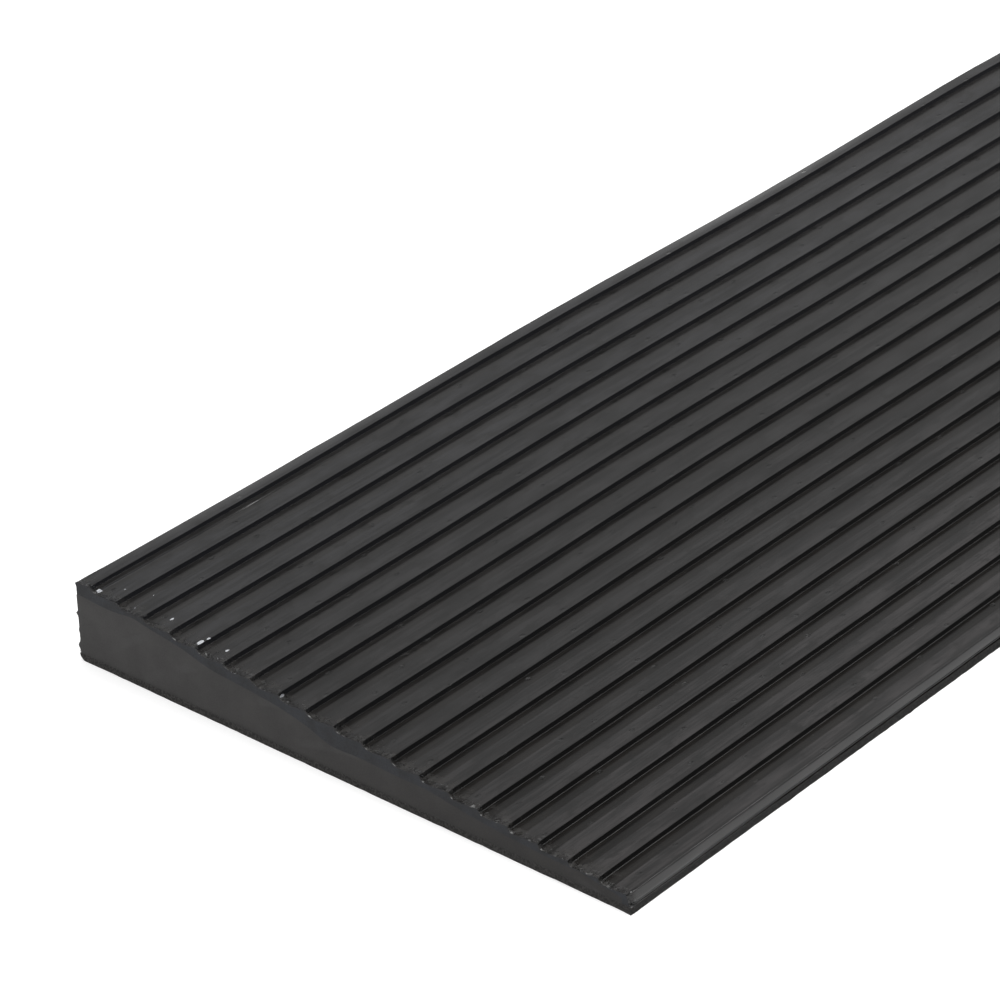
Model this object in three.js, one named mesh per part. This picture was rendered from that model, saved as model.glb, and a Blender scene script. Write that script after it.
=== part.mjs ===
// A portable wheelchair threshold ramp: one long wedge of solid black rubber that lies loose
// against a door sill. It is moulded from three bonded layers: a ribbed tread cap, a wedge core
// and a thin base sheet. Nothing on it moves, and nothing is bolted to it.
//
// Units are millimetres. +X runs along the door sill, +Y points from the toe up to the sill, and
// +Z is up. The origin is at the centre of the underside.
import * as THREE from "three";

// Overall size.
const LENGTH = 900; // along the sill, as wide as the doorway
const RUN = 200; // from the toe to the face that meets the sill
const HEIGHT = 26; // of the highest nose

// Ribs. Each one is a shallow ridge that runs the whole length and ends in a sharp nose, with a
// steep riser below it on the toe's side. In front of the riser's foot lies a nearly level valley,
// and a crease parts the valley from the tread that climbs to the next nose.
const RISERS = 19;
const PITCH = 10.23; // nose to nose
const TOE_STRIP = 11.0; // from the toe's lower edge to the lowest riser's nose
const TOE_NOSE_Z = 5.9; // height of the nose at the toe
const TOE_DRAFT = 0.9; // how far the toe's face leans back up to its nose
const RISER_DROP = 1.6; // from a nose to the foot of its riser
const RISER_LEAN = 0.1; // how far the foot stands out in front of the nose
const FOOT_FILLET = 0.2; // size of the rounded corner at the foot
const CREASE_FROM_NOSE = 4.33; // from the crease back to the nose above it
const VALLEY_RISE = 0.14; // how far the valley rises from the foot to the crease

// The narrow strip along the sill is crowned.
const SILL_STRIP_FALL = 0.55; // from the highest nose down to the sill's upper edge
const SILL_STRIP_CROWN = 0.16; // the part of that fall in the first half of the strip

// The toe.
const TOE_EDGE_RADIUS = 1.1;
const GROOVE_DEPTH = 0.3; // of the parting groove between the cap and the base sheet
const GROOVE_HEIGHT = 0.7;
const GROOVE_CHAMFER = 0.2;

// Layers.
const BASE_THICKNESS = 2.2;
const BACK_CORNER_RADIUS = 1.8; // the rounded lower edge at the sill
const CAP_TOE_THICKNESS = 3.2; // the cap turns down in front of the core here
const INTERFACE_STEP = 3; // spacing of the points along the face between cap and core

// The two rubbers flowed together in the mould, so the face between them is wavy. Each pair is a
// distance from the toe, and how deep that face lies below the line of the noses.
const CAP_DEPTHS = [
  [0, 2.6], [5, 2.0], [10.5, 1.95], [17, 1.6], [21, 2.0], [28, 2.6], [38, 3.2], [58, 3.6],
  [70, 3.3], [80, 4.4], [95, 5.6], [104, 6.8], [113, 4.9], [124, 3.9], [138, 4.1], [148, 4.4],
  [160, 2.9], [172, 2.5], [179, 2.2], [184, 3.4], [200, 4.7],
];

const CURVE_SEGMENTS = 4;

// Distances y are measured from the toe (0) to the sill (RUN), as the outlines are drawn.
const topNoseY = TOE_STRIP + (RISERS - 1) * PITCH;
const noseSlope = (HEIGHT - TOE_NOSE_Z) / (topNoseY - TOE_DRAFT);

/** Height of the line that touches every nose. */
function noseLine(y) {
  return TOE_NOSE_Z + noseSlope * (y - TOE_DRAFT);
}

/** How deep the bonded face between cap and core lies below the line of the noses. */
const capDepth = new THREE.CubicInterpolant(
  new Float32Array(CAP_DEPTHS.map(([y]) => y)),
  new Float32Array(CAP_DEPTHS.map(([, depth]) => depth)),
  1,
  new Float32Array(1),
);

/** Height of that face. */
function interfaceHeight(y) {
  return noseLine(y) - capDepth.evaluate(y)[0];
}

/** Points of that face, from behind the toe up to the sill. Cap and core share them exactly. */
function interfacePoints() {
  const span = RUN - CAP_TOE_THICKNESS;
  const count = Math.round(span / INTERFACE_STEP);
  const points = [];
  for (let i = 0; i <= count; i++) {
    const y = CAP_TOE_THICKNESS + (span * i) / count;
    points.push(new THREE.Vector2(y, interfaceHeight(y)));
  }
  return points;
}

/** Adds one riser to an outline that comes down the slope: nose, riser, foot and valley. */
function addRiser(outline, y) {
  const z = noseLine(y);
  const footY = y - RISER_LEAN;
  const footZ = z - RISER_DROP;
  const filletLean = (RISER_LEAN * FOOT_FILLET) / RISER_DROP;
  outline.lineTo(y, z);
  outline.lineTo(footY + filletLean, footZ + FOOT_FILLET);
  outline.quadraticCurveTo(footY, footZ, footY - FOOT_FILLET, footZ);
  outline.lineTo(y - CREASE_FROM_NOSE, footZ + VALLEY_RISE);
}

/** The ribbed layer that the wheels roll on. It wraps down over the toe to the base sheet. */
function treadCapOutline() {
  const outline = new THREE.Shape();
  const below = interfacePoints();
  const grooveTop = BASE_THICKNESS + GROOVE_HEIGHT;
  outline.moveTo(GROOVE_DEPTH, BASE_THICKNESS);
  outline.lineTo(CAP_TOE_THICKNESS, BASE_THICKNESS);
  below.forEach((p) => outline.lineTo(p.x, p.y));
  outline.lineTo(RUN, HEIGHT - SILL_STRIP_FALL);
  outline.lineTo((RUN + topNoseY) / 2, HEIGHT - SILL_STRIP_CROWN);
  for (let i = RISERS - 1; i >= 0; i--) addRiser(outline, TOE_STRIP + i * PITCH);
  outline.lineTo(TOE_DRAFT + TOE_EDGE_RADIUS, TOE_NOSE_Z);
  outline.quadraticCurveTo(TOE_DRAFT, TOE_NOSE_Z, TOE_DRAFT / 2, TOE_NOSE_Z - TOE_EDGE_RADIUS);
  outline.lineTo(0, grooveTop + GROOVE_CHAMFER);
  outline.lineTo(GROOVE_DEPTH, grooveTop);
  outline.closePath();
  return outline;
}

/** The wedge that carries the load. */
function coreOutline() {
  const outline = new THREE.Shape();
  const above = interfacePoints().reverse();
  outline.moveTo(CAP_TOE_THICKNESS, BASE_THICKNESS);
  outline.lineTo(RUN, BASE_THICKNESS);
  above.forEach((p) => outline.lineTo(p.x, p.y));
  outline.closePath();
  return outline;
}

/** The coarse sheet that grips the floor. */
function baseOutline() {
  const outline = new THREE.Shape();
  outline.moveTo(0, 0);
  outline.lineTo(RUN - BACK_CORNER_RADIUS, 0);
  outline.absarc(RUN - BACK_CORNER_RADIUS, BACK_CORNER_RADIUS, BACK_CORNER_RADIUS, -Math.PI / 2, 0);
  outline.lineTo(RUN, BASE_THICKNESS);
  outline.lineTo(0, BASE_THICKNESS);
  outline.closePath();
  return outline;
}

function layer(name, outline, colour, roughness) {
  const geometry = new THREE.ExtrudeGeometry(outline, {
    depth: LENGTH,
    bevelEnabled: false,
    curveSegments: CURVE_SEGMENTS,
  });
  const material = new THREE.MeshStandardMaterial({ color: colour, roughness, metalness: 0 });
  const mesh = new THREE.Mesh(geometry, material);
  mesh.name = name;
  return mesh;
}

// The outlines are drawn with x from the toe to the sill and y up, and extruded along z. This
// group turns those into the ramp's +Y, +Z and +X, and centres the ramp on its origin.
const ramp = new THREE.Group();
ramp.add(
  layer("tread_cap", treadCapOutline(), 0x2b2c2e, 0.45),
  layer("wedge_core", coreOutline(), 0x2e2b29, 0.7),
  layer("base_sheet", baseOutline(), 0x1f1e1d, 0.95),
);
const turn = new THREE.Matrix4().makeBasis(
  new THREE.Vector3(0, 1, 0),
  new THREE.Vector3(0, 0, 1),
  new THREE.Vector3(1, 0, 0),
);
ramp.setRotationFromMatrix(turn);
ramp.position.set(-LENGTH / 2, -RUN / 2, 0);

export default ramp;
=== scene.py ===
"""A solid rubber threshold ramp on a white table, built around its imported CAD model.

The three bonded layers are lofted along the ramp's length from one section each. Sections are
worked out in millimetres, with y measured from the toe (0) up to the sill face (RUN), and turned
into the frame's metres when a mesh is made.
"""
import math

import bpy
import numpy as np
from mathutils import Matrix, Vector


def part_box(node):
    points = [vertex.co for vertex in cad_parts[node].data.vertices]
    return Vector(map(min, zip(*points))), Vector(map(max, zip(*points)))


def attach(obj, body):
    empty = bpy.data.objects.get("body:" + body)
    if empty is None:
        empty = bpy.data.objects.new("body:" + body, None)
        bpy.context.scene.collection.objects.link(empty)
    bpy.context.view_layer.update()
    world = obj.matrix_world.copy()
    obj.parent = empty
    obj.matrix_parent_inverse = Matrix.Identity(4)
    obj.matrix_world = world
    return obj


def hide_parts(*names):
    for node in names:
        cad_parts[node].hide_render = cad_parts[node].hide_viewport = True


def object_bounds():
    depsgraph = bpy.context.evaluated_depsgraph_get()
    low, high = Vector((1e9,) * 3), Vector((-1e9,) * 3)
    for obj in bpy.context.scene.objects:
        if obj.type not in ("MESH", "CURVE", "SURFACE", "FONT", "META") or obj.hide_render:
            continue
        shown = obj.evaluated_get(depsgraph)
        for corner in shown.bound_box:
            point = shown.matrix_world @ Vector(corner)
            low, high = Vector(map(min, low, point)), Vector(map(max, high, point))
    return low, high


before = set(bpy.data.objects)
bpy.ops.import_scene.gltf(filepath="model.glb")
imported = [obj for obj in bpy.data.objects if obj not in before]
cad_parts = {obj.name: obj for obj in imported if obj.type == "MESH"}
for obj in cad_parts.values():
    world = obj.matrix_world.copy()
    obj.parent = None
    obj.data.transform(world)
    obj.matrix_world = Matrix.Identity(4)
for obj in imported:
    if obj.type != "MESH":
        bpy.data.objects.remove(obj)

CAD_LOW, CAD_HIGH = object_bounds()
MM = 0.001

# Overall sizes, from the frame, in millimetres.
LENGTH = (CAD_HIGH.x - CAD_LOW.x) / MM
RUN = (CAD_HIGH.y - CAD_LOW.y) / MM
HEIGHT = (CAD_HIGH.z - CAD_LOW.z) / MM
BASE_THICKNESS = (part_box("base_sheet")[1].z - CAD_LOW.z) / MM
CAP_TOE_THICKNESS = (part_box("wedge_core")[0].y - CAD_LOW.y) / MM

# Ribs. Each one is a shallow ridge with a sharp nose, and a steep riser on the toe's side of it.
# Behind the nose the tread falls away to a crease, and then runs nearly level to the next riser.
# Pairs are the values at the toe and at the sill.
RISERS = 19
PITCH = 10.23
TOE_STRIP = 11.0
TOE_NOSE_Z = 5.9
TOE_DRAFT = 0.9
NOSE_TILT = (4.5, 3.2)
CREASE_TILT = (5.5, 4.1)
VALLEY_TILT = (0.8, 1.6)
CREASE_FROM_NOSE = 5.9
CREASE_WIDTH = 0.12
RISER_LEAN = 0.08
NOSE_FLAT = 0.07
FILLET = (0.15, 0.03)
FILLET_CHANGES = (0.0, 0.45)  # shares of the way up between which the fillet shrinks
SILL_STRIP_FALL = 0.55
SILL_STRIP_BEND = 1.8
LEDGE_FROM_FOOT = 2.0
LEDGE_HEIGHT = 0.28
LEDGE_REACH = 70.0

# Points along one tread, its valley and the fillet behind it.
TREAD_POINTS = 14
VALLEY_POINTS = 9
VALLEY_LAST = 0.08  # from the valley's last point to the fillet
FILLET_STEPS = 4
LEDGE_EDGE = 0.02  # half the width of the ledge's edge, as a share of the valley
LEDGE_CLEAR = 0.06  # no other point is nearer to that edge
SILL_STRIP_SHARES = (0.25, 0.5, 0.75, 0.97)
SILL_FACE_STEPS = (0.25, 1.2, 2.4)  # down the cap's sill face

# How thick the cap is below the line of the noses, at distances from the toe.
CAP_DEPTHS = (
    (0, 2.6), (5, 2.0), (10.5, 1.95), (17, 1.6), (21, 2.0), (28, 2.6), (38, 3.2), (58, 3.6),
    (70, 3.3), (80, 4.4), (95, 5.6), (104, 6.8), (113, 4.9), (124, 3.9), (138, 4.1), (148, 4.4),
    (160, 2.9), (172, 2.5), (179, 2.2), (184, 3.4), (200, 4.7),
)
INTERFACE_STEP = 2.4
LEAST_CAP = 0.12

# Waves that the moulding left. A LENGTH is one whole wave, and a START is where it begins.
SWAY = 0.38
SWAY_LENGTH = 240.0
SWAY_START = 115.0
SWAY_GROWTH = 1.9
SAG_AT_SILL = 0.33  # how much nearer to the toe the highest rib lies, away from the waves
WANDER_SIDEWAYS = 0.05
WANDER_HEIGHT = 0.04
HELD = 0.6  # how much of a tread's width moves fully with the riser beside it
HELD_IN_FRONT = 0.2  # how much of that lies behind the nose
RISE_START = SWAY_START + 20.0
TOP_RIBS_RISE = ((RISERS - 2, 0.4), (RISERS - 1, 0.85))  # shares of the sill edge's rise
SILL_STRIP_RISE = ((4, 0.2), (3, 0.45), (2, 0.75), (1, 1.0))  # the same, for its last columns
SILL_EDGE_SAG = (-0.1, 0.2)  # at the left end, and far from it
SILL_EDGE_SAG_REACH = 60.0
SILL_EDGE_WAVE = (0.22, 0.7)
SILL_EDGE_SWELL_START = 60.0
SILL_EDGE_SWELL_LENGTH = 350.0
SILL_EDGE_LUMPS = 0.09
LUMPS_SHOW = 0.6  # share of the lumps that the upper edge itself has

# What the cut did. A REACH is how far along the ramp an effect goes from the cut end.
SPARED_TOE = 2.0  # behind the toe's lower edge, where there are no bites
SLUMP_DEPTH = 0.14
SLUMP_REACH = 2.8
SMEAR = (0.25, 2.1)
SMEAR_REACH = 0.8
SMEAR_GROWTH = 0.8
SMEAR_SPREAD = (0.75, 1.15)
SMEAR_NARROWEST = 0.3
SMEAR_SPAN = 2.6
SMEAR_DROP = 1.55
SMEAR_STEEPNESS = 1.5
SMEAR_TAIL = 0.12
BITE_DEPTH = 0.20
BITE_SPACING = 0.9
BITE_LEAST = 0.5
BITE_MOST = 1.5
BITE_GRAIN = 0.03
BITE_BEHIND = 0.35  # share of a bite at the next section in
HOLLOW_DEPTH = 0.55
HOLLOW_SHARE = (0.3, 1.0)  # of that depth
HOLLOWS_BELOW = 3  # each tread's end has fewer than this many
HOLLOW_PLACE = (0.5, 9.0)  # behind the nose
HOLLOW_FROM_END = (0.4, 1.8)
HOLLOW_WIDTH = (0.25, 0.7)
HOLLOW_LENGTH = (0.3, 0.6)
CAP_BURR = 0.3
CAP_BURR_REACH = 2.0

# The toe's rounded edge, and the groove with its flash.
TOE_ROUND = 0.65
TOE_ROUND_AT_CUT = 0.22
TOE_ROUND_REACH = 6.0
TOE_ROUND_DOWN = 1.35  # how far it goes down the face, in multiples of its radius
TOE_ROUND_BACK = 0.4  # and how far back along the tread
FIRST_TREAD_STARTS = 0.6
TOE_RAGGED = 0.10
TOE_CORNER_SET_BACK = 0.9
TOE_CORNER_REACH = 1.0
TOE_CORNER_DROP = 0.35
TOE_CORNER_DROP_REACH = 2.2
GROOVE_DEPTH = 0.5
GROOVE_AT_CUT = 0.35  # share of its depth
GROOVE_REACH = 60.0
GROOVE_RAGGED = 0.15
# How much painted shade the groove, and the strip just above it, get.
GROOVE_SHADE = 0.16
GROOVE_SHADE_ABOVE = 0.09
FLASH_WIDTH = 0.05
FLASH_MOST = 1.2
FLASH_AT_CUT = 1.6
FLASH_REACH = 70.0

# The sill face: height, width and most depth of each of its ridges.
SILL_RIDGES = ((15.3, 0.55, 0.8), (9.8, 0.6, 0.3), (4.6, 1.1, 0.9), (2.6, 0.4, 0.4))
RIDGE_STRENGTH = (0.45, 0.4)  # middle, and how much it varies
RIDGE_MOST = 1.2
RIDGE_WANDER = 0.35
SILL_FACE_BURR = 0.2
SILL_FACE_BURR_REACH = 2.5
SILL_FACE_POINTS = 40

# The base sheet.
BASE_CORNER = 1.8
BASE_FLARE = 0.13
BASE_BOW = 0.18
BASE_BOW_LENGTH = 360.0
BASE_LEAN = 0.16  # share of the flare that each step up the toe's face loses
BASE_GRAIN_DEEP = 0.07
BASE_TOE_GRAIN = 0.06
BASE_TOE_GRAIN_MOST = 1.5
BASE_EDGE_GRAIN = 0.05
BASE_TOP_POINTS = 9
BASE_BOTTOM_POINTS = 72
BASE_END_FLARE = (0.16, 0.08)  # plain, and for each step of grain
BASE_END_FLARE_BELOW = 1.5
BOTTOM_BURR = 1.5
BOTTOM_BURR_REACH = 0.5
HEEL_BURR = (0.1, 0.7)  # everywhere, and more beside the cuts
HEEL_BURR_REACH = 1.8
HEEL_BURR_SHARES = (0.8, 1.0, 0.6)

# Spacing of the sections along each layer.
CAP_STEP = 7.0
CORE_STEP = 4.5
BASE_STEP = 1.9
NEAR_CUT = (0.0, 0.3, 0.65, 1.05, 1.5, 2.1, 2.9, 3.9, 5.2, 6.8, 9.0, 12.0)
CREASE_DEGREES = 34

SEED = 11


# ---------------------------------------------------------------------------------------------
# Sections

TOP_NOSE_Y = TOE_STRIP + (RISERS - 1) * PITCH
NOSE_SLOPE = (HEIGHT - TOE_NOSE_Z) / (TOP_NOSE_Y - TOE_DRAFT)


def slope(degrees):
    return math.tan(math.radians(degrees))


def between(pair, share):
    """The value at a share of the way from the pair's first number to its second."""
    return pair[0] + (pair[1] - pair[0]) * share


def nose_line(y):
    """Height of the line that touches every nose."""
    return TOE_NOSE_Z + NOSE_SLOPE * (y - TOE_DRAFT)


def smooth_through(points, places):
    """A smooth curve through the points (Catmull-Rom), at the given places."""
    x, v = (np.array(column, float) for column in zip(*points))
    tangent = np.gradient(v, x)
    k = np.clip(np.searchsorted(x, places, side="right") - 1, 0, len(x) - 2)
    span = x[k + 1] - x[k]
    t = (places - x[k]) / span
    stay = 2 * t**3 - 3 * t**2 + 1
    lead = t**3 - 2 * t**2 + t
    pull = t**3 - t**2
    return stay * v[k] + (1 - stay) * v[k + 1] + span * (lead * tangent[k] + pull * tangent[k + 1])


def interface_height(y):
    """Height of the bonded face between the cap and the core."""
    return nose_line(y) - smooth_through(CAP_DEPTHS, y)


def smooth_noise(rng, points, lengths, amplitude):
    """A smooth random curve over the given points: a few sines of the given wavelengths."""
    total = np.zeros_like(points)
    for length in lengths:
        total += np.sin(2 * np.pi * points / length + rng.uniform(0, 2 * np.pi))
    return amplitude * total / math.sqrt(len(lengths))


def tread_profile(front_y, front_z, back_y, share, ledge):
    """Points of one tread, from its nose back to the foot of the next riser and up its fillet.

    The third number of each point is how far it is lifted where the ledge is at its full height,
    and the fourth is 1 in the valley in front of the riser, which the material makes a little
    rougher and paints with shade.
    """
    start, stop = FILLET_CHANGES
    fillet = between(FILLET, np.clip((share - start) / (stop - start), 0, 1))
    nose, crease = slope(between(NOSE_TILT, share)), slope(between(CREASE_TILT, share))
    level = slope(between(VALLEY_TILT, share))
    foot_y = back_y - RISER_LEAN
    points = [(front_y, front_z - NOSE_FLAT, 0, 0), (front_y + NOSE_FLAT, front_z, 0, 0)]
    span = CREASE_FROM_NOSE
    for s in [*np.linspace(0, 1, TREAD_POINTS)[1:-1], 1 - CREASE_WIDTH / span, 1]:
        z = front_z - span * (nose * s + (crease - nose) * s**2 / 2)
        points.append((front_y + span * s, z, 0, 0))
    crease_y, crease_z, _, _ = points[-1]
    valley = foot_y - fillet - crease_y
    stops = [CREASE_WIDTH / valley, *np.linspace(0, 1, VALLEY_POINTS)[1:-1]]
    stops.append(1 - VALLEY_LAST / valley)
    if ledge:
        edge = 1 - LEDGE_FROM_FOOT / valley
        stops = [s for s in stops if abs(s - edge) > LEDGE_CLEAR]
        stops = sorted([*stops, edge - LEDGE_EDGE, edge + LEDGE_EDGE])
    for s in stops:
        lift = LEDGE_HEIGHT if ledge and s > edge else 0
        points.append((crease_y + valley * s, crease_z - valley * s * level, lift, 1))
    floor_z = crease_z - valley * level
    lift = LEDGE_HEIGHT if ledge else 0
    for step in range(FILLET_STEPS + 1):
        angle = math.radians(90 * step / FILLET_STEPS)
        y = foot_y - fillet + fillet * math.sin(angle)
        points.append((y, floor_z + fillet * (1 - math.cos(angle)), lift, 1))
    return points


# The toe's face, from the base sheet up: steps back from the face, steps up and shares of the
# parting groove, with the flash ridge in the middle of it.
TOE_FACE = (
    (0.02, 0.00, 0.0),
    (0.04, 0.12, 1.0),
    (0.05, 0.46, 1.0),
    (0.02, 0.60, 0.2),
    (0.02, 0.72, 0.2),
    (0.04, 0.84, 0.7),
    (0.10, 1.10, 0.1),
    (0.26, 1.75, 0.0),
)
FLASH = (3, 4)
GROOVE = slice(1, 6)
ABOVE_GROOVE = 6
TOE_ARC = 9  # points round the toe's upper edge


def cap_columns():
    """The cap's upper outline at a plain section.

    Each column is y, z, the riser it moves with in front, the one behind, its place between them,
    its lift at the ledge, and whether it lies in a valley.
    """
    columns = [(y, BASE_THICKNESS + up, -1, -1, 0, 0, 0) for y, up, _ in TOE_FACE]
    columns += [(TOE_DRAFT, TOE_NOSE_Z, -1, -1, 0, 0, 0)] * TOE_ARC
    last = RISERS - 1
    front_y, front_z = TOE_DRAFT, TOE_NOSE_Z
    for rib in range(RISERS):
        back_y = TOE_STRIP + rib * PITCH
        tread = tread_profile(front_y, front_z, back_y, rib / last, ledge=rib == last)
        if rib == 0:
            tread = [p for p in tread if p[0] > TOE_DRAFT + FIRST_TREAD_STARTS * TOE_ROUND]
        for y, z, lift, valley in tread:
            place = np.clip((y - front_y - HELD_IN_FRONT) / (PITCH - HELD), 0, 1)
            columns.append((y, z, rib - 1, rib, place, lift, valley))
        front_y, front_z = back_y, nose_line(back_y)
    columns += [(front_y, front_z - NOSE_FLAT, last, last, 0, 0, 0)]
    columns += [(front_y + NOSE_FLAT, front_z, last, last, 0, 0, 0)]
    strip = RUN - front_y
    for share in SILL_STRIP_SHARES:
        z = HEIGHT - SILL_STRIP_FALL * share**SILL_STRIP_BEND
        columns.append((front_y + strip * share, z, last, RISERS, share, 0, 0))
    return np.array(columns)


def stations(middle_step):
    """Distances along the ramp of the sections: close together near both cut ends."""
    margin = NEAR_CUT[-1]
    count = round((LENGTH - 2 * margin) / middle_step)
    middle = np.linspace(margin, LENGTH - margin, count + 1)[1:-1]
    far = [LENGTH - d for d in reversed(NEAR_CUT)]
    return np.array([*NEAR_CUT, *middle, *far])


def interface_steps(start, stop):
    """Places of the points along the bonded face, from start to stop."""
    return np.linspace(start, stop, round((RUN - CAP_TOE_THICKNESS) / INTERFACE_STEP) + 1)


def from_end(x):
    """Distance to the nearer cut end."""
    return np.minimum(x, LENGTH - x)


# ---------------------------------------------------------------------------------------------
# Meshes


def make_piece(name, X, Y, Z, faces):
    """A mesh object from rings in section millimetres, smooth except across sharp creases."""
    placed = np.column_stack([
        low + ring.ravel() * MM for low, ring in zip(CAD_LOW, (X, Y, Z))
    ])
    mesh = bpy.data.meshes.new(name)
    mesh.from_pydata(placed.tolist(), [], faces)
    mesh.validate()
    mesh.polygons.foreach_set("use_smooth", [True] * len(mesh.polygons))
    mesh.set_sharp_from_angle(angle=math.radians(CREASE_DEGREES))
    mesh.update()
    piece = bpy.data.objects.new(name, mesh)
    bpy.context.collection.objects.link(piece)
    return piece


def add_attribute(piece, name, values):
    """Stores one number for each vertex, for the piece's material to read."""
    layer = piece.data.attributes.new(name, "FLOAT", "POINT")
    layer.data.foreach_set("value", np.asarray(values, np.float32).ravel())


def loft_faces(rings, size):
    """Quads between neighbouring rings of a closed loft; each ring runs round the section."""
    faces = []
    for r in range(rings - 1):
        a, b = r * size, (r + 1) * size
        for i in range(size):
            j = (i + 1) % size
            faces.append((a + i, a + j, b + j, b + i))
    return faces


def end_faces(ring_start, upper, lower, flip):
    """Closes a loft's end: one face for each pair of lower points and the upper ones above them.

    upper and lower are lists of (ring index, y), both from the toe to the sill.
    """
    faces = []
    cuts = [0]
    for _, y in lower[1:-1]:
        nearest = min(range(cuts[-1], len(upper)), key=lambda k: abs(upper[k][1] - y))
        cuts.append(nearest)
    cuts.append(len(upper) - 1)
    for j in range(len(lower) - 1):
        above = [ring_start + upper[k][0] for k in range(cuts[j], cuts[j + 1] + 1)]
        below = [ring_start + lower[j + 1][0], ring_start + lower[j][0]]
        ring = above + below
        faces.append(tuple(reversed(ring)) if flip else tuple(ring))
    return faces


def closed_loft(rings, size, upper, lower):
    """All faces of a loft with both of its ends closed. The ends' faces come last."""
    faces = loft_faces(rings, size)
    faces += end_faces(0, upper, lower, flip=False)
    faces += end_faces((rings - 1) * size, upper, lower, flip=True)
    return faces


def use_cut_material(piece, lower):
    """Gives the closed ends the piece's second material."""
    cut_faces = 2 * (len(lower) - 1)
    for polygon in piece.data.polygons[-cut_faces:]:
        polygon.material_index = 1


def grow_toe_edge(Y, Z, x, rng):
    """Rounds the toe's upper edge, and cuts the parting groove with its flash into the face."""
    e = from_end(x)
    growth = TOE_ROUND - TOE_ROUND_AT_CUT + smooth_noise(rng, x, (47.0, 29.0, 83.0), TOE_RAGGED)
    radius = TOE_ROUND_AT_CUT + growth * (1 - np.exp(-((e / TOE_ROUND_REACH) ** 2)))
    face_y, face_up, _ = TOE_FACE[-1]
    draft = (TOE_DRAFT - face_y) / (TOE_NOSE_Z - BASE_THICKNESS - face_up)
    down, back = TOE_ROUND_DOWN * radius, TOE_ROUND_BACK * radius
    start_y, start_z = TOE_DRAFT - down * draft, TOE_NOSE_Z - down
    stop_y, stop_z = TOE_DRAFT + back, TOE_NOSE_Z - back * slope(NOSE_TILT[0])
    first = len(TOE_FACE)
    for k, t in enumerate(np.linspace(0, 1, TOE_ARC)):
        a, b, c = (1 - t) ** 2, 2 * t * (1 - t), t * t
        Y[:, first + k] = a * start_y + b * TOE_DRAFT + c * stop_y
        Z[:, first + k] = a * start_z + b * TOE_NOSE_Z + c * stop_z
    # The blade pushed the toe's corner in at both ends.
    corner = np.exp(-((e / TOE_CORNER_REACH) ** 2))
    Y[:, 2 : first + TOE_ARC] += TOE_CORNER_SET_BACK * corner[:, None]
    drop = TOE_CORNER_DROP * np.exp(-((e / TOE_CORNER_DROP_REACH) ** 2))
    Z[:, first : first + TOE_ARC] -= drop[:, None]
    depth = GROOVE_DEPTH * (GROOVE_AT_CUT + (1 - GROOVE_AT_CUT) * (1 - np.exp(-e / GROOVE_REACH)))
    depth *= 1 + smooth_noise(rng, x, (31.0, 77.0), GROOVE_RAGGED)
    flash = smooth_noise(rng, x, (61.0, 23.0, 140.0), 1.0)
    flash += FLASH_AT_CUT * np.exp(-e / FLASH_REACH)
    flash = FLASH_WIDTH * np.clip(flash, 0, FLASH_MOST)
    for k, (_, _, share) in enumerate(TOE_FACE):
        Y[:, k] += depth * share
        if k in FLASH:
            Y[:, k] -= flash


def cut_damage(x, columns, rng):
    """Depths of the hollows that the blade tore in the treads close to both cut ends."""
    count = len(columns)
    depth = np.zeros((len(x), count))
    y = columns[:, 0]
    rib = columns[:, 3]
    for from_this_end in (x, LENGTH - x):
        for r in range(RISERS):
            for _ in range(rng.integers(0, HOLLOWS_BELOW)):
                centre_y = TOE_STRIP + (r - 1) * PITCH + rng.uniform(*HOLLOW_PLACE)
                centre_e = rng.uniform(*HOLLOW_FROM_END)
                wide, deep = rng.uniform(*HOLLOW_WIDTH), rng.uniform(*HOLLOW_SHARE) * HOLLOW_DEPTH
                long = rng.uniform(*HOLLOW_LENGTH)
                across = np.exp(-(((y - centre_y) / wide) ** 2)) * (rib == r)
                along = np.exp(-(((from_this_end - centre_e) / long) ** 2))
                depth += deep * along[:, None] * across[None, :]
    return depth


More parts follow.
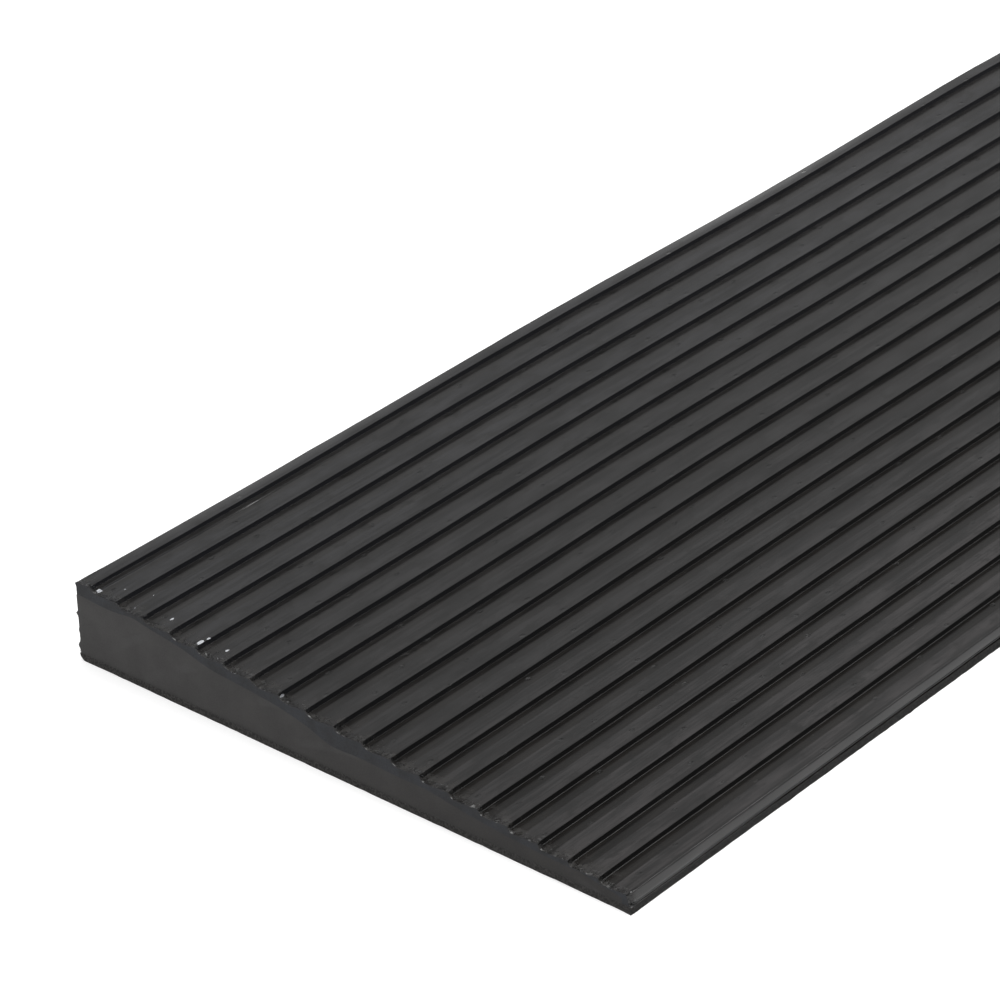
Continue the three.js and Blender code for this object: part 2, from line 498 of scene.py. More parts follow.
def build_cap():
    """The ribbed top layer."""
    rng = np.random.default_rng(SEED)
    columns = cap_columns()
    x = stations(CAP_STEP)
    e = from_end(x)
    count = len(columns)
    y0, z0, front, back, place, ledge, valley = columns.T
    front, back = front.astype(int), back.astype(int)
    Y = np.repeat(y0[None, :], len(x), 0)
    Z = np.repeat(z0[None, :], len(x), 0)
    grow_toe_edge(Y, Z, x, rng)

    # Long, shallow waves: no moulded edge is quite straight. The toe and the sill stay put.
    sway = np.zeros((len(x), RISERS + 2))
    lift = np.zeros((len(x), RISERS + 2))
    shared = np.sin(2 * np.pi * (x - SWAY_START) / SWAY_LENGTH)
    for r in range(RISERS):
        share = r / (RISERS - 1)
        sway[:, r] = SWAY * min(1, SWAY_GROWTH * share) * shared - SAG_AT_SILL * share**2
        sway[:, r] += smooth_noise(rng, x, (145.0, 520.0), WANDER_SIDEWAYS)
        lift[:, r] = smooth_noise(rng, x, (260.0, 430.0), WANDER_HEIGHT)
    swell = np.clip((x - SILL_EDGE_SWELL_START) / SILL_EDGE_SWELL_LENGTH, 0, 1)
    swell = 0.5 - 0.5 * np.cos(np.pi * swell)
    rise = np.sin(2 * np.pi * (x - RISE_START) / SWAY_LENGTH)
    for r, share in TOP_RIBS_RISE:
        lift[:, r] += share * (SILL_EDGE_WAVE[1] - SILL_EDGE_WAVE[0]) * swell * rise
    Y += sway[:, front] * (1 - place) + sway[:, back] * place
    Z += lift[:, front] * (1 - place) + lift[:, back] * place
    Z += ledge[None, :] * np.exp(-((x / LEDGE_REACH) ** 2))[:, None]

    # The cut dragged the surface down a little at both ends.
    on_treads = (np.arange(count) >= len(TOE_FACE) + TOE_ARC) & (y0 > SPARED_TOE)
    slump = SLUMP_DEPTH * np.exp(-e / SLUMP_REACH)
    Z -= slump[:, None] * on_treads[None, :]

    # The blade smeared each riser's end into the corner below it, most near the sill.
    fade = np.exp(-((e / SMEAR_REACH) ** 2))
    for r in range(RISERS):
        share = r / (RISERS - 1)
        amount = between(SMEAR, share**SMEAR_GROWTH) * rng.uniform(*SMEAR_SPREAD)
        nose_y, nose_z = TOE_STRIP + r * PITCH, nose_line(TOE_STRIP + r * PITCH)
        reach = (nose_y - y0) / max(amount, SMEAR_NARROWEST)
        wedge = np.where((back == r) & (reach >= 0) & (reach < SMEAR_SPAN), 1.0, 0.0)
        fall = SMEAR_DROP * (1 - np.exp(-np.clip(reach, 0, SMEAR_SPAN) * SMEAR_STEEPNESS))
        target = nose_z - fall - SMEAR_TAIL * reach
        blend = fade[:, None] * wedge[None, :]
        Z += blend * (np.maximum(target[None, :], Z) - Z)

    # Bites out of the cut edges, and hollows just behind them.
    damage_and_shade = cut_damage(x, columns, rng)
    Z -= damage_and_shade
    places = np.arange(0, RUN + 2, BITE_SPACING)
    for end, step in ((0, 1), (len(x) - 1, -1)):
        coarse = np.interp(y0, places, rng.normal(0, 1, len(places)))
        bite = np.clip(coarse - BITE_LEAST, 0, BITE_MOST) * BITE_DEPTH
        bite += np.abs(rng.normal(0, BITE_GRAIN, count))
        bite *= on_treads
        Z[end] -= bite
        Z[end + step] -= bite * BITE_BEHIND
        damage_and_shade[end] += bite
        damage_and_shade[end + step] += bite * BITE_BEHIND

    # Flash and small lumps along the sill's upper edge, which rises and falls a little.
    sag = between(SILL_EDGE_SAG, 1 - np.exp(-x / SILL_EDGE_SAG_REACH))
    wave = between(SILL_EDGE_WAVE, swell) * rise - sag
    edge = smooth_noise(rng, x, (23.0, 47.0, 110.0), SILL_EDGE_LUMPS)
    for k, share in SILL_STRIP_RISE:
        Z[:, count - k] += wave * share
    Y[:, count - 1] += edge * LUMPS_SHOW
    Z[:, count - 1] += np.abs(edge) * LUMPS_SHOW
    inside = (y0 > CAP_TOE_THICKNESS) & on_treads
    Z = np.where(inside[None, :], np.maximum(Z, interface_height(Y) + LEAST_CAP), Z)

    # The sill face of the cap, and then the bonded face back to the toe.
    lower_y = interface_steps(RUN, CAP_TOE_THICKNESS)
    lower = np.column_stack([lower_y, interface_height(lower_y)])
    sill_top = HEIGHT - SILL_STRIP_FALL
    sill = np.array([[RUN, sill_top - step] for step in SILL_FACE_STEPS])
    rest = np.vstack([sill, lower, [[CAP_TOE_THICKNESS, BASE_THICKNESS]]])
    Y = np.hstack([Y, np.repeat(rest[None, :, 0], len(x), 0)])
    Z = np.hstack([Z, np.repeat(rest[None, :, 1], len(x), 0)])
    damage_and_shade = np.hstack([damage_and_shade, np.zeros((len(x), len(rest)))])
    size = Y.shape[1]
    X = np.repeat(x[:, None], size, 1)
    Y[:, count] += edge + CAP_BURR * np.exp(-((e / CAP_BURR_REACH) ** 2))
    Z[:, count] += wave

    upper_list = [(k, y0[k]) for k in range(count)] + [(count + k, RUN) for k in range(len(sill))]
    lower_list = [(k, rest[k - count][0]) for k in range(count + len(sill), size)]
    lower_list.reverse()
    faces = closed_loft(len(x), size, upper_list, lower_list)
    # Painted shade in the toe's parting groove, and a little just above it.
    damage_and_shade[:, GROOVE] = np.maximum(damage_and_shade[:, GROOVE], GROOVE_SHADE)
    damage_and_shade[:, ABOVE_GROOVE] = np.maximum(damage_and_shade[:, ABOVE_GROOVE], GROOVE_SHADE_ABOVE)
    piece = make_piece("tread_cap_rubber", X, Y, Z, faces)
    # These numbers also tell the material where to paint shade.
    add_attribute(piece, "damage_and_shade", damage_and_shade)
    add_attribute(piece, "valley", np.tile(np.append(valley, np.zeros(len(rest))), len(x)))
    use_cut_material(piece, lower_list)
    return piece


def sill_relief(x, z, rng):
    """Ridges and dents of the rough sill face, as a distance out of it."""
    out = np.zeros((len(x), len(z)))
    burr = np.exp(-((from_end(x) / SILL_FACE_BURR_REACH) ** 2))
    out += SILL_FACE_BURR * burr[:, None]
    middle, change = RIDGE_STRENGTH
    for height, width, most in SILL_RIDGES:
        strength = middle + smooth_noise(rng, x, (23.0, 61.0, 140.0), change)
        strength = np.clip(strength, 0, RIDGE_MOST) * (1 - burr) + burr
        line = height + smooth_noise(rng, x, (170.0, 90.0), RIDGE_WANDER) * (1 - burr)
        bump = np.exp(-(((z[None, :] - line[:, None]) / width) ** 2))
        out += most * strength[:, None] * bump
    return out


def build_core():
    """The wedge in the middle."""
    rng = np.random.default_rng(SEED + 1)
    x = stations(CORE_STEP)
    upper_y = interface_steps(CAP_TOE_THICKNESS, RUN)
    upper_z = interface_height(upper_y)
    back_z = np.linspace(upper_z[-1], BASE_THICKNESS, SILL_FACE_POINTS)[1:-1]
    lower_y = upper_y[::-2] if len(upper_y) % 2 else np.append(upper_y[::-2], upper_y[0])
    section_y = np.concatenate([upper_y, np.full(len(back_z), RUN), lower_y])
    section_z = np.concatenate([upper_z, back_z, np.full(len(lower_y), BASE_THICKNESS)])
    size = len(section_y)
    Y = np.repeat(section_y[None, :], len(x), 0)
    Z = np.repeat(section_z[None, :], len(x), 0)
    back_ids = np.arange(len(upper_y), len(upper_y) + len(back_z))
    Y[:, back_ids] += sill_relief(x, back_z, rng)
    X = np.repeat(x[:, None], size, 1)
    upper_list = [(k, section_y[k]) for k in range(len(upper_y))]
    upper_list += [(k, RUN) for k in back_ids]
    lower_list = [(k, section_y[k]) for k in range(size - 1, back_ids[-1], -1)]
    faces = closed_loft(len(x), size, upper_list, lower_list)
    return make_piece("wedge_core_rubber", X, Y, Z, faces)


def build_base():
    """The coarse sheet underneath."""
    rng = np.random.default_rng(SEED + 2)
    x = stations(BASE_STEP)
    front = [(0.0, BASE_THICKNESS * s) for s in (0.0, 0.2, 0.4, 0.6, 0.8, 1.0)]
    top_y = np.linspace(CAP_TOE_THICKNESS, RUN, BASE_TOP_POINTS)
    r = BASE_CORNER
    arc = [math.radians(a) for a in (0, 22.5, 45, 67.5, 90)]
    back = [(RUN - r + r * math.cos(a), r - r * math.sin(a)) for a in arc]
    bottom_y = np.linspace(RUN - r, 0.0, BASE_BOTTOM_POINTS)[1:-1]
    section = front + [(y, BASE_THICKNESS) for y in top_y] + back + [(y, 0.0) for y in bottom_y]
    section = np.array(section)
    size = len(section)
    Y = np.repeat(section[None, :, 0], len(x), 0)
    Z = np.repeat(section[None, :, 1], len(x), 0)
    grain = rng.normal(0, 1, (len(x), size))
    front_ids = np.arange(1, len(front) - 1)
    most = BASE_TOE_GRAIN_MOST
    Y[:, front_ids] += np.clip(grain[:, front_ids], -most, most) * BASE_TOE_GRAIN
    Y[:, 0] += grain[:, 0] * BASE_EDGE_GRAIN
    bow = BASE_BOW * (1 - np.cos(2 * np.pi * x / BASE_BOW_LENGTH))
    for k in range(len(front)):
        Y[:, k] -= (BASE_FLARE + bow) * (1 - BASE_LEAN * k)
    bottom_ids = np.arange(size - len(bottom_y), size)
    burr = 1 + BOTTOM_BURR * np.exp(-from_end(x) / BOTTOM_BURR_REACH)
    torn = np.exp(-((from_end(x) / HEEL_BURR_REACH) ** 2))
    heel = len(front) + len(top_y)
    heel_burr = HEEL_BURR[0] + HEEL_BURR[1] * torn[:, None]
    Y[:, heel - 1 : heel + 2] += heel_burr * np.array(HEEL_BURR_SHARES)
    pits = np.clip(np.abs(grain), 0, 2)
    Z[:, bottom_ids] += pits[:, bottom_ids] * BASE_GRAIN_DEEP * burr[:, None]
    X = np.repeat(x[:, None], size, 1)
    for end, outward in ((0, -1), (len(x) - 1, 1)):
        flare = BASE_END_FLARE[0] + pits[end] * BASE_END_FLARE[1]
        X[end] += outward * flare * (section[:, 1] < BASE_END_FLARE_BELOW)
    upper_list = [(k, section[k][0]) for k in range(bottom_ids[0])]
    lower_list = [(k, section[k][0]) for k in reversed(bottom_ids)]
    faces = closed_loft(len(x), size, upper_list, lower_list)
    piece = make_piece("base_sheet_rubber", X, Y, Z, faces)
    use_cut_material(piece, lower_list)
    return piece


# ---------------------------------------------------------------------------------------------
# Materials. Distances in them are millimetres, with y measured from the ramp's middle.

BLADE_CENTRE = (0.0, -30.0, -150.0)
BLADE_ARCS_PER_MM = 0.55
LEFT_END = -LENGTH / 2

# Dark and light colours of the treads and the valleys, from the toe to the sill. How the treads
# change along the ramp is painted light and shade, and the valleys' colours are painted shade.
TREAD_LIT_AT_TOE = ((0.0056, 0.0051, 0.0051), (0.0272, 0.0248, 0.0248))
TREAD_SHADED_HALFWAY = ((0.0018, 0.0017, 0.0017), (0.0126, 0.0120, 0.0121))
TREAD_LIT_AT_SILL = ((0.0030, 0.0030, 0.0033), (0.0172, 0.0172, 0.0187))
SHADED_VALLEY_AT_TOE = ((0.0026, 0.0022, 0.0019), (0.0074, 0.0062, 0.0052))
SHADED_VALLEY_AT_SILL = ((0.0086, 0.0082, 0.0080), (0.0160, 0.0152, 0.0149))
# Painted shade on the risers.
RISER_SHADE_AT_TOE = (0.0043, 0.0043, 0.0044)
RISER_SHADE_AT_SILL = (0.0100, 0.0104, 0.0129)
# Painted shade just behind the toe's edge.
SHADE_BEHIND_TOE = (0.0030, 0.0028, 0.0027)
SMUDGE = (0.0040, 0.0037, 0.0034)
GRIT = (0.055, 0.052, 0.050)
RUBBER_DUST = (0.024, 0.022, 0.020)
PIT = (0.006, 0.006, 0.006)
# Painted shade in the bites, hollows and the toe's groove.
CUT_AND_GROOVE_SHADE = (0.004, 0.004, 0.004)
WHITE_FLECK = (0.38, 0.39, 0.41)

# Dark and light colours of the cut ends and the base.
CUT_CAP = ((0.0088, 0.0095, 0.0115), (0.0152, 0.0172, 0.0220))
CUT_CAP_RUBBED = (0.0065, 0.0065, 0.0068)
CUT_CAP_SPECK = (0.042, 0.047, 0.056)
CORE_AT_TOE = ((0.0070, 0.0058, 0.0053), (0.0142, 0.0122, 0.0113))
CORE_AT_SILL = ((0.0182, 0.0170, 0.0166), (0.0282, 0.0266, 0.0259))
CORE_LOW = (0.0085, 0.0080, 0.0078)
CORE_ARC = (0.036, 0.035, 0.035)
CORE_FLECK = (0.07, 0.065, 0.06)
CRUMB = ((0.0008, 0.0007, 0.0007), (0.0205, 0.0193, 0.0184))
CUT_CRUMB = ((0.0125, 0.0118, 0.0114), (0.0440, 0.0418, 0.0407))
CRUMB_FLECK = (0.045, 0.043, 0.041)


class Shader:
    """A small helper that adds nodes to one material and links them."""

    def __init__(self, name):
        self.material = bpy.data.materials.new(name)
        self.material.use_nodes = True
        self.tree = self.material.node_tree
        self.tree.nodes.clear()
        self.output = self.tree.nodes.new("ShaderNodeOutputMaterial")
        self.bsdf = self.tree.nodes.new("ShaderNodeBsdfPrincipled")
        self.tree.links.new(self.bsdf.outputs["BSDF"], self.output.inputs["Surface"])

    def link(self, value, socket):
        if isinstance(value, bpy.types.NodeSocket):
            self.tree.links.new(value, socket)
        else:
            socket.default_value = value

    def math(self, operation, a, b=0.0, c=0.0):
        node = self.tree.nodes.new("ShaderNodeMath")
        node.operation = operation
        for value, socket in zip((a, b, c), node.inputs):
            self.link(value, socket)
        return node.outputs[0]

    def times(self, a, b):
        return self.math("MULTIPLY", a, b)

    def plus(self, a, b):
        return self.math("ADD", a, b)

    def place_mm(self, scale=(1.0, 1.0, 1.0)):
        """Position on the piece in millimetres, stretched by scale."""
        coords = self.tree.nodes.new("ShaderNodeTexCoord")
        mapping = self.tree.nodes.new("ShaderNodeMapping")
        mapping.inputs["Scale"].default_value = [s / MM for s in scale]
        self.tree.links.new(coords.outputs["Object"], mapping.inputs["Vector"])
        return mapping.outputs["Vector"]

    def axis(self, vector, name):
        node = self.tree.nodes.new("ShaderNodeSeparateXYZ")
        self.tree.links.new(vector, node.inputs[0])
        return node.outputs[name]

    def normal(self):
        return self.tree.nodes.new("ShaderNodeNewGeometry").outputs["Normal"]

    def noise(self, vector, scale, detail, rough):
        node = self.tree.nodes.new("ShaderNodeTexNoise")
        self.tree.links.new(vector, node.inputs["Vector"])
        node.inputs["Scale"].default_value = scale
        node.inputs["Detail"].default_value = detail
        node.inputs["Roughness"].default_value = rough
        return node.outputs["Fac"]

    def cells(self, vector, scale, dimensions="3D"):
        """The distance to the middle of the nearest cell, and that cell's random colour."""
        node = self.tree.nodes.new("ShaderNodeTexVoronoi")
        node.voronoi_dimensions = dimensions
        self.tree.links.new(vector, node.inputs["Vector"])
        node.inputs["Scale"].default_value = scale
        return node.outputs["Distance"], node.outputs["Color"]

    def specks(self, vector, scale, edge, heart, left_out):
        """Round specks, solid within the heart and gone at the edge. A share is left out."""
        gap, pick = self.cells(vector, scale)
        chosen = self.math("GREATER_THAN", self.channel(pick, "Red"), left_out)
        return self.times(self.ramp(gap, edge, heart), chosen)

    def ramp(self, value, low, high, to_low=0.0, to_high=1.0):
        """A smooth step between two limits, which may run downwards."""
        node = self.tree.nodes.new("ShaderNodeMapRange")
        node.interpolation_type = "SMOOTHSTEP"
        limits = {"From Min": low, "From Max": high, "To Min": to_low, "To Max": to_high}
        for socket, number in limits.items():
            node.inputs[socket].default_value = number
        self.link(value, node.inputs["Value"])
        return node.outputs["Result"]

    def mix(self, factor, a, b):
        """Colour a, turning to b as the factor goes from 0 to 1."""
        node = self.tree.nodes.new("ShaderNodeMix")
        node.data_type = "RGBA"
        self.link(factor, node.inputs["Factor"])
        for value, key in ((a, "A"), (b, "B")):
            socket = [s for s in node.inputs if s.name == key and s.type == "RGBA"][0]
            self.link(value if isinstance(value, bpy.types.NodeSocket) else (*value, 1.0), socket)
        return [s for s in node.outputs if s.type == "RGBA"][0]

    def channel(self, colour, name):
        node = self.tree.nodes.new("ShaderNodeSeparateColor")
        self.tree.links.new(colour, node.inputs[0])
        return node.outputs[name]

    def attribute(self, name):
        node = self.tree.nodes.new("ShaderNodeAttribute")
        node.attribute_name = name
        return node.outputs["Fac"]

    def blade_arcs(self):
        """Faint arcs that a round blade left on the cut ends."""
        offset = self.tree.nodes.new("ShaderNodeVectorMath")
        offset.operation = "SUBTRACT"
        self.tree.links.new(self.place_mm((0.0, 1.0, 1.0)), offset.inputs[0])
        offset.inputs[1].default_value = BLADE_CENTRE
        reach = self.tree.nodes.new("ShaderNodeVectorMath")
        reach.operation = "LENGTH"
        self.tree.links.new(offset.outputs[0], reach.inputs[0])
        wave = self.math("SINE", self.times(reach.outputs["Value"], BLADE_ARCS_PER_MM))
        breakup = self.noise(self.place_mm(), 0.06, 3.0, 0.5)
        return self.times(self.ramp(wave, 0.55, 1.0), self.ramp(breakup, 0.45, 0.6))

    def bump(self, height, distance, over=None):
        """A relief that stands that far out at a height of 1, on top of another relief."""
        node = self.tree.nodes.new("ShaderNodeBump")
        self.link(distance, node.inputs["Distance"])
        node.inputs["Strength"].default_value = 1.0
        self.link(height, node.inputs["Height"])
        if over is not None:
            self.link(over, node.inputs["Normal"])
        return node.outputs["Normal"]


def tread_colour(s, tone, y_mm, valley):
    """The colour of treads, valleys and risers between their dark and light tones."""
    # Painted light and shade: the treads are painted palest near the toe, and blackest halfway up.
    toe_share, sill_share = s.ramp(y_mm, 0.0, -110.0), s.ramp(y_mm, 10.0, 90.0)
    dark, light = (
        s.mix(toe_share, s.mix(sill_share, halfway, at_sill), at_toe)
        for at_toe, halfway, at_sill in zip(TREAD_LIT_AT_TOE, TREAD_SHADED_HALFWAY, TREAD_LIT_AT_SILL)
    )
    colour = s.mix(tone, dark, light)
    # Painted shade in the valleys, darkest near the toe.
    valley_share = s.ramp(y_mm, -75.0, 90.0)
    dark, light = (s.mix(valley_share, *pair) for pair in zip(SHADED_VALLEY_AT_TOE, SHADED_VALLEY_AT_SILL))
    return s.mix(valley, colour, s.mix(tone, dark, light))


def tread_rubber():
    """Semi-gloss black rubber with faint streaks along the ribs, and marks close to the cuts."""
    s = Shader("tread_rubber")
    place = s.place_mm()
    streaks = s.noise(s.place_mm((0.03, 1.3, 1.3)), 1.0, 4.0, 0.65)
    patches = s.noise(s.place_mm((0.05, 0.16, 0.16)), 1.0, 4.0, 0.6)
    grain = s.noise(place, 2.2, 3.0, 0.6)
    x_mm = s.axis(place, "X")
    y_mm = s.axis(place, "Y")
    end_gap = s.math("SUBTRACT", LENGTH / 2, s.math("ABSOLUTE", x_mm))
    # Where the bites, hollows and groove get painted shade.
    damage_and_shade = s.ramp(s.attribute("damage_and_shade"), 0.02, 0.16)
    valley = s.attribute("valley")

    tone = s.ramp(s.plus(streaks, patches), 0.75, 1.25)
    colour = tread_colour(s, tone, y_mm, valley)
    # A line of painted shade just behind the toe's bright edge.
    behind = s.times(s.ramp(y_mm, -98.95, -98.75), s.ramp(y_mm, -97.8, -98.3))
    colour = s.mix(s.times(behind, 0.85), colour, SHADE_BEHIND_TOE)
    # Smudges and fine grit.
    blots = s.noise(s.place_mm((0.6, 1.0, 1.0)), 0.22, 5.0, 0.65)
    colour = s.mix(s.times(s.ramp(blots, 0.53, 0.67), 0.75), colour, SMUDGE)
    colour = s.mix(s.times(s.specks(place, 0.5, 0.10, 0.05, 0.93), 0.7), colour, GRIT)
    # Painted shade: the risers face the toe and are painted blackest near it, but the toe's own
    # face, which also faces that way, gets less of it.
    riser = s.ramp(s.times(s.axis(s.normal(), "Y"), -1.0), 0.55, 0.92)
    riser = s.times(riser, s.ramp(y_mm, -96.0, -93.0, 0.4, 1.0))
    colour = s.mix(riser, colour, s.mix(s.ramp(y_mm, -60.0, 110.0), RISER_SHADE_AT_TOE, RISER_SHADE_AT_SILL))
    # Rubber dust on the treads close to the cuts.
    dust = s.times(s.ramp(s.noise(place, 0.28, 4.0, 0.6), 0.45, 0.65), s.ramp(end_gap, 9.0, 1.0))
    colour = s.mix(s.times(dust, 0.5), colour, RUBBER_DUST)
    # Small dark pits.
    gap, pick = s.cells(s.place_mm((0.6, 0.9, 0.9)), 0.11, "2D")
    scuff = s.times(s.ramp(gap, 0.085, 0.035), s.ramp(s.channel(pick, "Red"), 0.4, 0.5))
    scuff = s.times(scuff, s.ramp(s.noise(place, 1.6, 3.0, 0.6), 0.30, 0.46))
    colour = s.mix(s.times(scuff, 0.7), colour, PIT)
    # Painted shade in the bites, hollows and groove: they are painted darker.
    colour = s.mix(s.times(damage_and_shade, 0.8), colour, CUT_AND_GROOVE_SHADE)
    # Torn skin right beside the cuts.
    torn = s.ramp(s.noise(s.place_mm((1.0, 0.8, 0.8)), 0.75, 3.0, 0.6), 0.50, 0.57)
    torn = s.times(torn, s.ramp(end_gap, 2.6, 1.4))
    # White flecks of dust that lie near the left end, on the upper half.
    gap, pick = s.cells(s.place_mm((0.55, 1.0, 1.0)), 0.42)
    gap = s.plus(gap, s.times(s.math("SUBTRACT", grain, 0.5), 0.16))
    size = s.times(s.math("POWER", s.channel(pick, "Green"), 2.2), 0.30)
    chosen = s.math("GREATER_THAN", s.channel(pick, "Red"), 0.3)
    where = s.times(s.ramp(x_mm, LEFT_END + 12.0, LEFT_END + 1.0), s.ramp(y_mm, -8.0, 40.0))
    fleck = s.times(s.math("LESS_THAN", gap, size), chosen)
    fleck = s.times(fleck, s.math("GREATER_THAN", where, s.channel(pick, "Blue")))
    colour = s.mix(fleck, colour, WHITE_FLECK)
    s.link(colour, s.bsdf.inputs["Base Color"])

    rough = s.plus(0.15, s.times(streaks, 0.06))
    for layer, amount in ((patches, 0.07), (dust, 0.15), (valley, 0.02)):
        rough = s.plus(rough, s.times(layer, amount))
    for layer, least in ((fleck, 0.7), (damage_and_shade, 0.45)):
        rough = s.math("MAXIMUM", rough, s.times(layer, least))
    s.link(rough, s.bsdf.inputs["Roughness"])
    fine = s.bump(grain, 0.002 * MM)
    pits = s.bump(s.math("SUBTRACT", 1.0, scuff), 0.07 * MM, over=fine)
    skin = s.bump(torn, 0.22 * MM, over=pits)
    s.link(s.bump(streaks, 0.013 * MM, over=skin), s.bsdf.inputs["Normal"])
    return s.material


def cut_rubber():
    """The cap's rubber on the cut ends: matt and faintly blue, with torn and rubbed patches."""
    s = Shader("cut_rubber")
    place = s.place_mm()
    cloud = s.noise(place, 0.16, 4.0, 0.6)
    grain = s.noise(place, 1.8, 4.0, 0.7)
    colour = s.mix(s.ramp(cloud, 0.3, 0.7), *CUT_CAP)
    colour = s.mix(s.times(s.ramp(grain, 0.5, 0.75), 0.5), colour, CUT_CAP_RUBBED)
    speck = s.times(s.specks(place, 1.1, 0.22, 0.1, 0.7), s.ramp(cloud, 0.45, 0.6))
    colour = s.mix(s.times(speck, 0.5), colour, CUT_CAP_SPECK)
    s.link(colour, s.bsdf.inputs["Base Color"])
    s.bsdf.inputs["Specular IOR Level"].default_value = 0.25
    s.link(s.ramp(grain, 0.2, 0.8, 0.5, 0.7), s.bsdf.inputs["Roughness"])
    s.link(s.bump(grain, 0.03 * MM), s.bsdf.inputs["Normal"])
    return s.material


def core_rubber():
    """The core's rubber: matt, faintly brown and mottled, with arcs from the blade."""
    s = Shader("core_rubber")
    place = s.place_mm()
    cloud = s.noise(place, 0.10, 4.0, 0.6)
    grain = s.noise(place, 2.0, 4.0, 0.7)
    toward_sill = s.ramp(s.axis(place, "Y"), -95.0, 90.0)
    dark, light = (s.mix(toward_sill, *pair) for pair in zip(CORE_AT_TOE, CORE_AT_SILL))
    colour = s.mix(s.ramp(cloud, 0.25, 0.75), dark, light)
    # It is darker where it meets the base.
    height = s.plus(s.axis(place, "Z"), s.times(s.noise(place, 0.7, 3.0, 0.6), 1.2))
    low = s.ramp(height, BASE_THICKNESS + 1.9, BASE_THICKNESS + 0.5)
    colour = s.mix(s.times(low, 0.55), colour, CORE_LOW)
    arc = s.blade_arcs()
    colour = s.mix(s.times(arc, 0.35), colour, CORE_ARC)
    colour = s.mix(s.times(s.specks(place, 0.55, 0.16, 0.08, 0.86), 0.6), colour, CORE_FLECK)
    s.link(colour, s.bsdf.inputs["Base Color"])
    s.bsdf.inputs["Specular IOR Level"].default_value = 0.3
    s.link(s.ramp(grain, 0.2, 0.8, 0.5, 0.66), s.bsdf.inputs["Roughness"])
    fine = s.bump(grain, 0.02 * MM)
    s.link(s.bump(arc, 0.03 * MM, over=fine), s.bsdf.inputs["Normal"])
    return s.material


def base_rubber(name="base_rubber", colours=CRUMB):
    """Coarse, dull rubber crumb."""
    s = Shader(name)
    place = s.place_mm()
    grain = s.noise(place, 1.4, 4.0, 0.7)
    colour = s.mix(s.ramp(grain, 0.42, 0.60), *colours)
    colour = s.mix(s.times(s.specks(place, 0.8, 0.25, 0.12, 0.8), 0.7), colour, CRUMB_FLECK)
    s.link(colour, s.bsdf.inputs["Base Color"])
    s.bsdf.inputs["Specular IOR Level"].default_value = 0.2
    s.link(s.ramp(grain, 0.2, 0.8, 0.6, 0.8), s.bsdf.inputs["Roughness"])
    s.link(s.bump(grain, 0.18 * MM), s.bsdf.inputs["Normal"])
    return s.material


def cut_base_rubber():
    """The crumb where the blade went through it, a little paler."""
    return base_rubber("cut_base_rubber", CUT_CRUMB)


# ---------------------------------------------------------------------------------------------
# Studio

# How bright the room is at each height above the horizon, in degrees. In the camera's view, the
# treads mirror the part between 19 and 29 degrees, and the valleys that between 22 and 34.
ROOM_LEVELS = (
    (0.0, 1.0), (5.0, 0.80), (12.0, 0.46), (22.0, 0.44), (25.5, 0.41), (27.4, 0.45), (28.2, 0.55),
    (28.9, 0.70), (30.2, 0.59), (32.3, 0.36), (34.0, 0.13), (48.0, 0.13), (90.0, 0.3),
)

# The camera. It looks this many degrees round from +Y towards +X, and this many down. The point
# that it looks at is given from the CAD box's lowest corner. That and the distance to it are in
# metres, and the lens is in millimetres.
CAMERA_AZIMUTH = 48.81
CAMERA_ELEVATION = 29.99
CAMERA_ROLL = -1.67
CAMERA_DISTANCE = 1.2544
CAMERA_AIM = (0.1256, 0.1507, 0.0125)
CAMERA_LENS = 153.0
CAMERA_SENSOR = 36.0


def table_material():
    """A white light table: it glows a little, so shadows on it stay pale."""
    s = Shader("white_table")
    s.bsdf.inputs["Base Color"].default_value = (0.45, 0.45, 0.45, 1.0)
    s.bsdf.inputs["Roughness"].default_value = 0.9
    s.bsdf.inputs["Emission Color"].default_value = (1.0, 1.0, 1.0, 1.0)
    s.bsdf.inputs["Emission Strength"].default_value = 0.66
    return s.material


def make_floor():
    bpy.ops.mesh.primitive_plane_add(size=24.0, location=(0, 0, CAD_LOW.z))
    floor = bpy.context.object
    floor.name = "floor"
    floor.data.materials.append(table_material())


def make_world():
    """A pale room: white at the horizon, grey higher up with a brighter band, then dark."""
    world = bpy.data.worlds.new("studio")
    bpy.context.scene.world = world
    world.use_nodes = True
    tree = world.node_tree
    tree.nodes.clear()
    output = tree.nodes.new("ShaderNodeOutputWorld")
    background = tree.nodes.new("ShaderNodeBackground")
    coords = tree.nodes.new("ShaderNodeTexCoord")
    split = tree.nodes.new("ShaderNodeSeparateXYZ")
    ramp = tree.nodes.new("ShaderNodeValToRGB")
    tree.links.new(coords.outputs["Generated"], split.inputs[0])
    tree.links.new(split.outputs["Z"], ramp.inputs["Fac"])
    tree.links.new(ramp.outputs["Color"], background.inputs["Color"])
    tree.links.new(background.outputs[0], output.inputs["Surface"])
    stops = ramp.color_ramp.elements
    stops.remove(stops[1])
    for k, (degrees, level) in enumerate(ROOM_LEVELS):
        place = math.sin(math.radians(degrees))
        element = stops[0] if k == 0 else stops.new(place)
        element.position = place
        element.color = (level, level, level, 1.0)


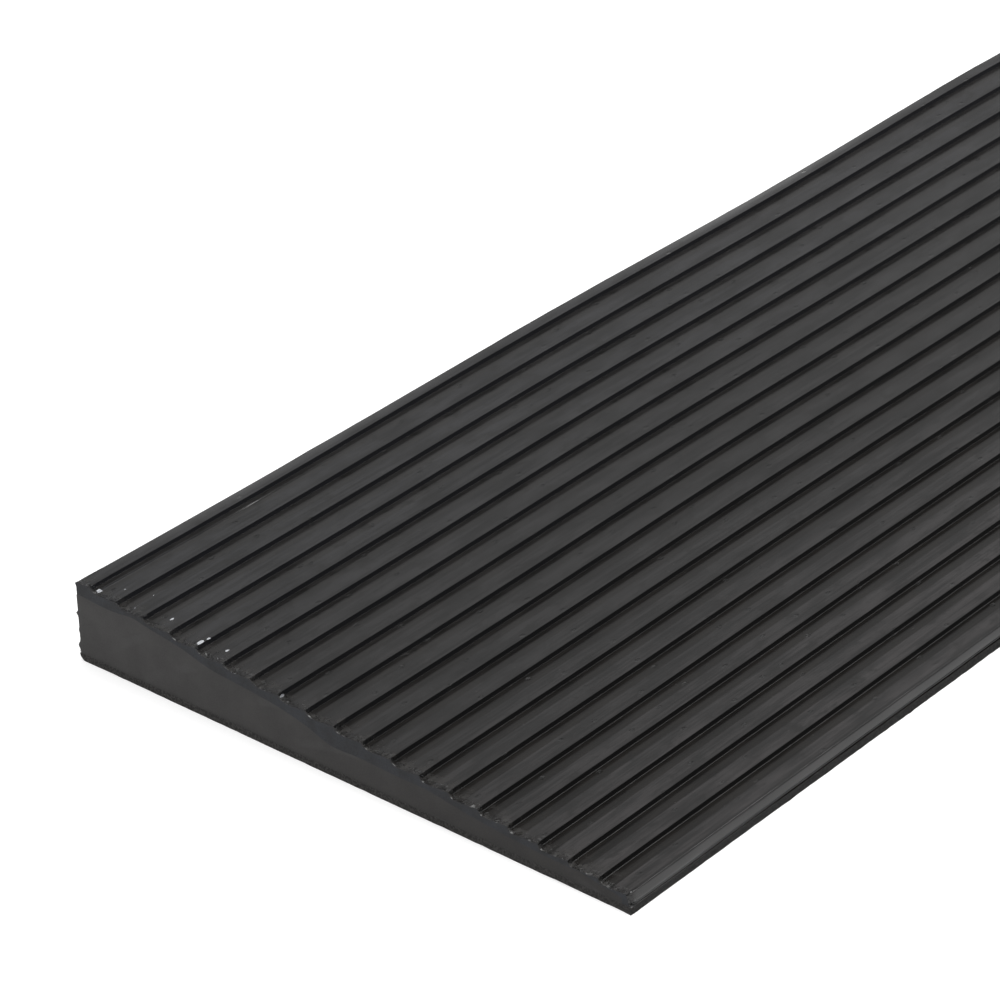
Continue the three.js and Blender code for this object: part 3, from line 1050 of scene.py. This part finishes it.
def make_softbox(name, azimuth, elevation, distance, size, radiance):
    """A large round soft light that faces the ramp."""
    azimuth, elevation = math.radians(azimuth), math.radians(elevation)
    toward = Vector((math.cos(azimuth) * math.cos(elevation),
                     math.sin(azimuth) * math.cos(elevation),
                     math.sin(elevation)))
    light = bpy.data.lights.new(name, "AREA")
    light.shape = "DISK"
    light.size = size
    light.energy = radiance * math.pi**2 * size**2 / 4
    lamp = bpy.data.objects.new(name, light)
    lamp.location = toward * distance
    lamp.rotation_euler = (-toward).to_track_quat("-Z", "Y").to_euler()
    lamp.visible_camera = False
    bpy.context.collection.objects.link(lamp)


def make_camera():
    """A long lens that looks down at the ramp's left end, from beyond it on the toe's side."""
    azimuth = math.radians(CAMERA_AZIMUTH)
    elevation = math.radians(CAMERA_ELEVATION)
    roll = math.radians(CAMERA_ROLL)
    aim = CAD_LOW + Vector(CAMERA_AIM)
    forward = Vector((math.sin(azimuth) * math.cos(elevation),
                      math.cos(azimuth) * math.cos(elevation),
                      -math.sin(elevation)))
    level = forward.cross(Vector((0, 0, 1))).normalized()
    up = level.cross(forward)
    right = level * math.cos(roll) + up * math.sin(roll)
    up = right.cross(forward)
    turn = Matrix((right, up, -forward)).transposed()
    data = bpy.data.cameras.new("camera")
    data.lens = CAMERA_LENS
    data.sensor_width = CAMERA_SENSOR
    camera = bpy.data.objects.new("camera", data)
    camera.matrix_world = Matrix.Translation(aim - forward * CAMERA_DISTANCE) @ turn.to_4x4()
    bpy.context.collection.objects.link(camera)
    bpy.context.scene.camera = camera


# ---------------------------------------------------------------------------------------------
# Scene

make_camera()
make_floor()
make_world()
make_softbox("overhead", azimuth=0, elevation=90, distance=2.2, size=2.5, radiance=4.4)
make_softbox("side", azimuth=-5, elevation=60, distance=3.0, size=1.7, radiance=3.6)
bpy.context.scene.view_settings.view_transform = "Standard"

for build, materials, node, slot in (
    (build_cap, (tread_rubber, cut_rubber), "tread_cap", "tread_rubber"),
    (build_core, (core_rubber,), "wedge_core", "core_rubber"),
    (build_base, (base_rubber, cut_base_rubber), "base_sheet", "base_rubber"),
):
    piece = build()
    for material in materials:
        piece.data.materials.append(material())
    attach(piece, "root")
    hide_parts(node)
